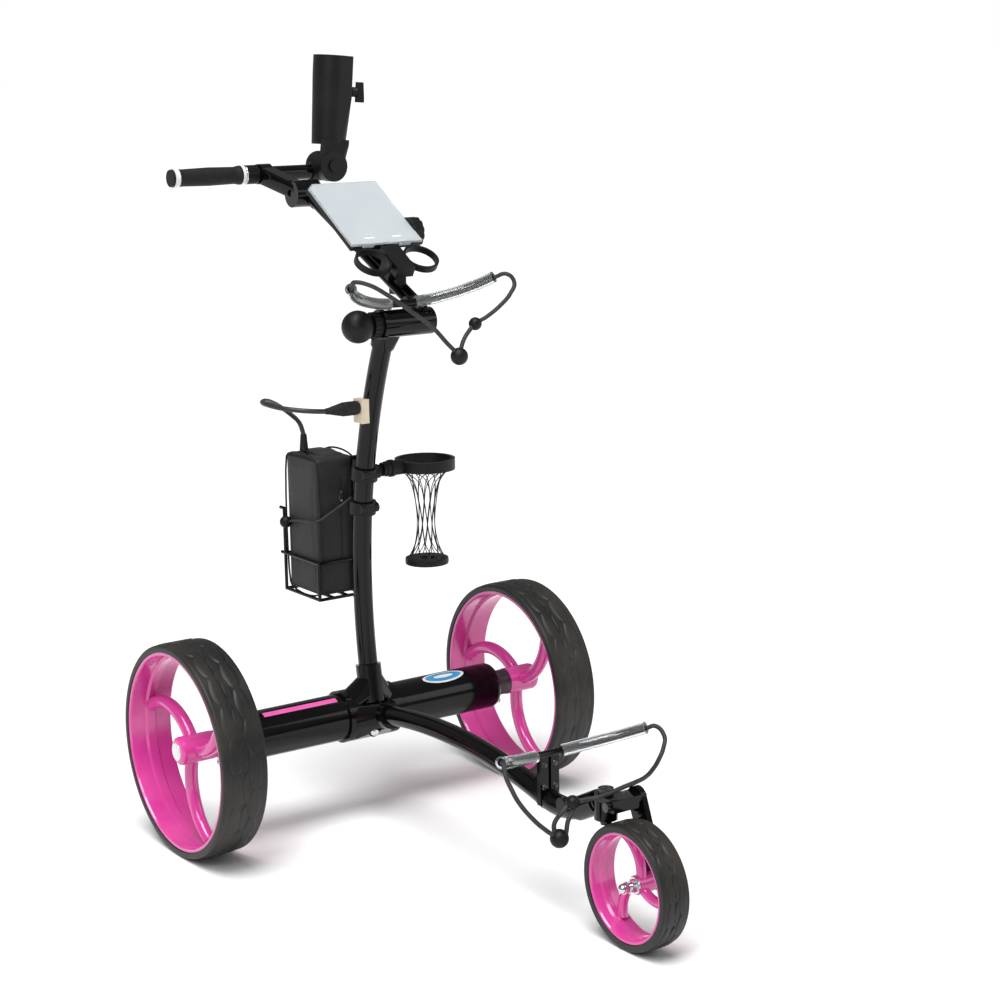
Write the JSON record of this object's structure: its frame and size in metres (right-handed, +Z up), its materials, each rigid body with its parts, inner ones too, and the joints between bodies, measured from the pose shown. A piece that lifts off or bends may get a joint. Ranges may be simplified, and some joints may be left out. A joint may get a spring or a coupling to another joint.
{
  "type": "electric golf push cart",
  "caption": "Folding powered golf trolley with bag cradles, single hand grip, umbrella holder, score tray, battery bag and drinks ring.",
  "frame": {"origin": "on the floor, at the middle of the footprint", "axes": "+Y forwards towards the single front wheel, +X to the trolley's right-hand side, +Z up"},
  "size_m": [0.623, 0.989, 1.0932],
  "materials": {
    "black_paint": "gloss powder coat",
    "pink_paint": "gloss",
    "tyre_rubber": "matt",
    "bright_steel": "bright",
    "dark_steel": "satin",
    "black_plastic": "fine satin texture",
    "soft_rubber": "matt",
    "white_trim": "gloss",
    "clear_vinyl": "clear",
    "frosted_clear": "frosted",
    "cream_plastic": "satin",
    "bag_fabric": "woven nylon",
    "cord_sheath": "braided",
    "red_button": "gloss",
    "cell_wrap": "shrink wrap",
    "circuit_board": "satin"
  },
  "bodies": {
    "chassis": {"axle_tube": "black_paint", "tube_end_caps": "black_paint", "axle_bearings": "bright_steel", "geared_motors": "dark_steel", "controller": "circuit_board", "frame_clamp": "black_paint", "clamp_bolts": "bright_steel", "mast": "black_paint", "front_arm": "black_paint", "lower_bracket_posts": "black_paint", "lower_cradle_bar": "black_paint", "lower_cradle_sleeves": "clear_vinyl", "lower_bungee": "cord_sheath", "lower_bungee_toggles": "black_plastic", "mast_hinge_half": "black_paint", "power_socket": "cream_plastic", "battery_cradle": "black_paint", "cradle_clamps": "black_plastic", "battery_bungee": "cord_sheath", "drinks_arm": "black_plastic"},
    "right_wheel": {"tyre_right": "tyre_rubber", "rim_right": "pink_paint", "drive_shaft_right": "dark_steel"},
    "left_wheel": {"tyre_left": "tyre_rubber", "rim_left": "pink_paint", "drive_shaft_left": "dark_steel"},
    "right_release_pin": {"release_pin_right": "bright_steel"},
    "left_release_pin": {"release_pin_left": "bright_steel"},
    "fork": {"front_fork": "black_paint", "fork_pivot_bolt": "dark_steel", "front_axle": "bright_steel"},
    "front_wheel": {"front_tyre": "tyre_rubber", "front_rim": "pink_paint", "front_bearings": "bright_steel"},
    "handle": {"handle_hinge_half": "black_paint", "handle_tubes": "black_paint", "upper_cradle_bar": "black_paint", "upper_cradle_sleeves": "clear_vinyl", "upper_bungee": "cord_sheath", "upper_bungee_toggles": "black_plastic", "accessory_console": "black_plastic", "scorecard_tray": "black_plastic"},
    "lid": {"scorecard_lid": "frosted_clear"},
    "hinge_knob": {"hinge_knob": "black_plastic"},
    "grip_assembly": {"grip_arm": "black_paint", "grip_bar": "black_paint", "grip": "soft_rubber", "grip_rings": "white_trim", "umbrella_knuckle": "black_plastic"},
    "speed_dial": {"speed_dial": "black_plastic"},
    "power_button": {"power_button": "red_button"},
    "umbrella_holder": {"umbrella_tube": "black_plastic"},
    "wing_screw": {"wing_screw": "black_plastic"},
    "battery": {"battery_bag": "bag_fabric", "battery_pack": "cell_wrap", "cable_gland": "soft_rubber", "power_cable": "soft_rubber", "power_plug": "soft_rubber"},
    "drinks_holder": {"drinks_ring": "black_plastic", "drinks_net": "black_plastic", "net_base": "black_plastic"}
  },
  "joints": [
    {"name": "right_wheel_spin", "type": "hinge", "parent": "chassis", "child": "right_wheel", "pos_m": [0.278, -0.217, 0.15], "axis": [1, 0, 0], "continuous": true},
    {"name": "left_wheel_spin", "type": "hinge", "parent": "chassis", "child": "left_wheel", "pos_m": [-0.278, -0.217, 0.15], "axis": [1, 0, 0], "continuous": true},
    {"name": "right_release_pull", "type": "slide", "parent": "right_wheel", "child": "right_release_pin", "axis": [0, 0, -1], "range_m": [0, 0.005], "stiffness_N_per_m": 400},
    {"name": "left_release_pull", "type": "slide", "parent": "left_wheel", "child": "left_release_pin", "axis": [0, 0, -1], "range_m": [0, 0.005], "stiffness_N_per_m": 400},
    {"name": "tracking_swivel", "type": "hinge", "parent": "chassis", "child": "fork", "pos_m": [0, 0.355, 0.165], "axis": [0, 0, 1], "range_deg": [-5, 5]},
    {"name": "front_wheel_spin", "type": "hinge", "parent": "fork", "child": "front_wheel", "pos_m": [0, 0.414, 0.08], "axis": [1, 0, 0], "continuous": true},
    {"name": "handle_fold", "type": "hinge", "parent": "chassis", "child": "handle", "pos_m": [-0.04, -0.115, 0.729], "axis": [1, 0, 0], "range_deg": [-100, 25]},
    {"name": "hinge_knob_turn", "type": "hinge", "parent": "chassis", "child": "hinge_knob", "pos_m": [0.055, -0.115, 0.729], "axis": [1, 0, 0], "continuous": true},
    {"name": "lid_flip", "type": "hinge", "parent": "handle", "child": "lid", "pos_m": [-0.029, -0.28976, 0.90852], "axis": [1, 0, 0], "range_deg": [0, 100]},
    {"name": "grip_tilt", "type": "hinge", "parent": "handle", "child": "grip_assembly", "pos_m": [-0.02, -0.4, 0.893], "axis": [1, 0, 0], "range_deg": [-20, 20]},
    {"name": "speed_dial_turn", "type": "hinge", "parent": "grip_assembly", "child": "speed_dial", "pos_m": [0.019, -0.467, 0.92], "axis": [1, 0, 0], "range_deg": [0, 270]},
    {"name": "power_button_press", "type": "slide", "parent": "grip_assembly", "child": "power_button", "axis": [0, -1, 0], "range_m": [0, 0.0015], "stiffness_N_per_m": 600},
    {"name": "umbrella_tilt", "type": "hinge", "parent": "grip_assembly", "child": "umbrella_holder", "pos_m": [-0.108, -0.447, 0.928], "axis": [0, 1, 0], "range_deg": [-40, 25]},
    {"name": "wing_screw_turn", "type": "hinge", "parent": "umbrella_holder", "child": "wing_screw", "pos_m": [-0.15887, -0.447, 1.03612], "axis": [-0.863, 0.5, -0.0725], "continuous": true},
    {"name": "battery_lift", "type": "slide", "parent": "chassis", "child": "battery", "axis": [0, 0, 1], "range_m": [0, 0.12]},
    {"name": "drinks_level", "type": "hinge", "parent": "chassis", "child": "drinks_holder", "pos_m": [-0.04, -0.201, 0.509], "axis": [1, 0, 0], "range_deg": [-40, 40]}
  ]
}
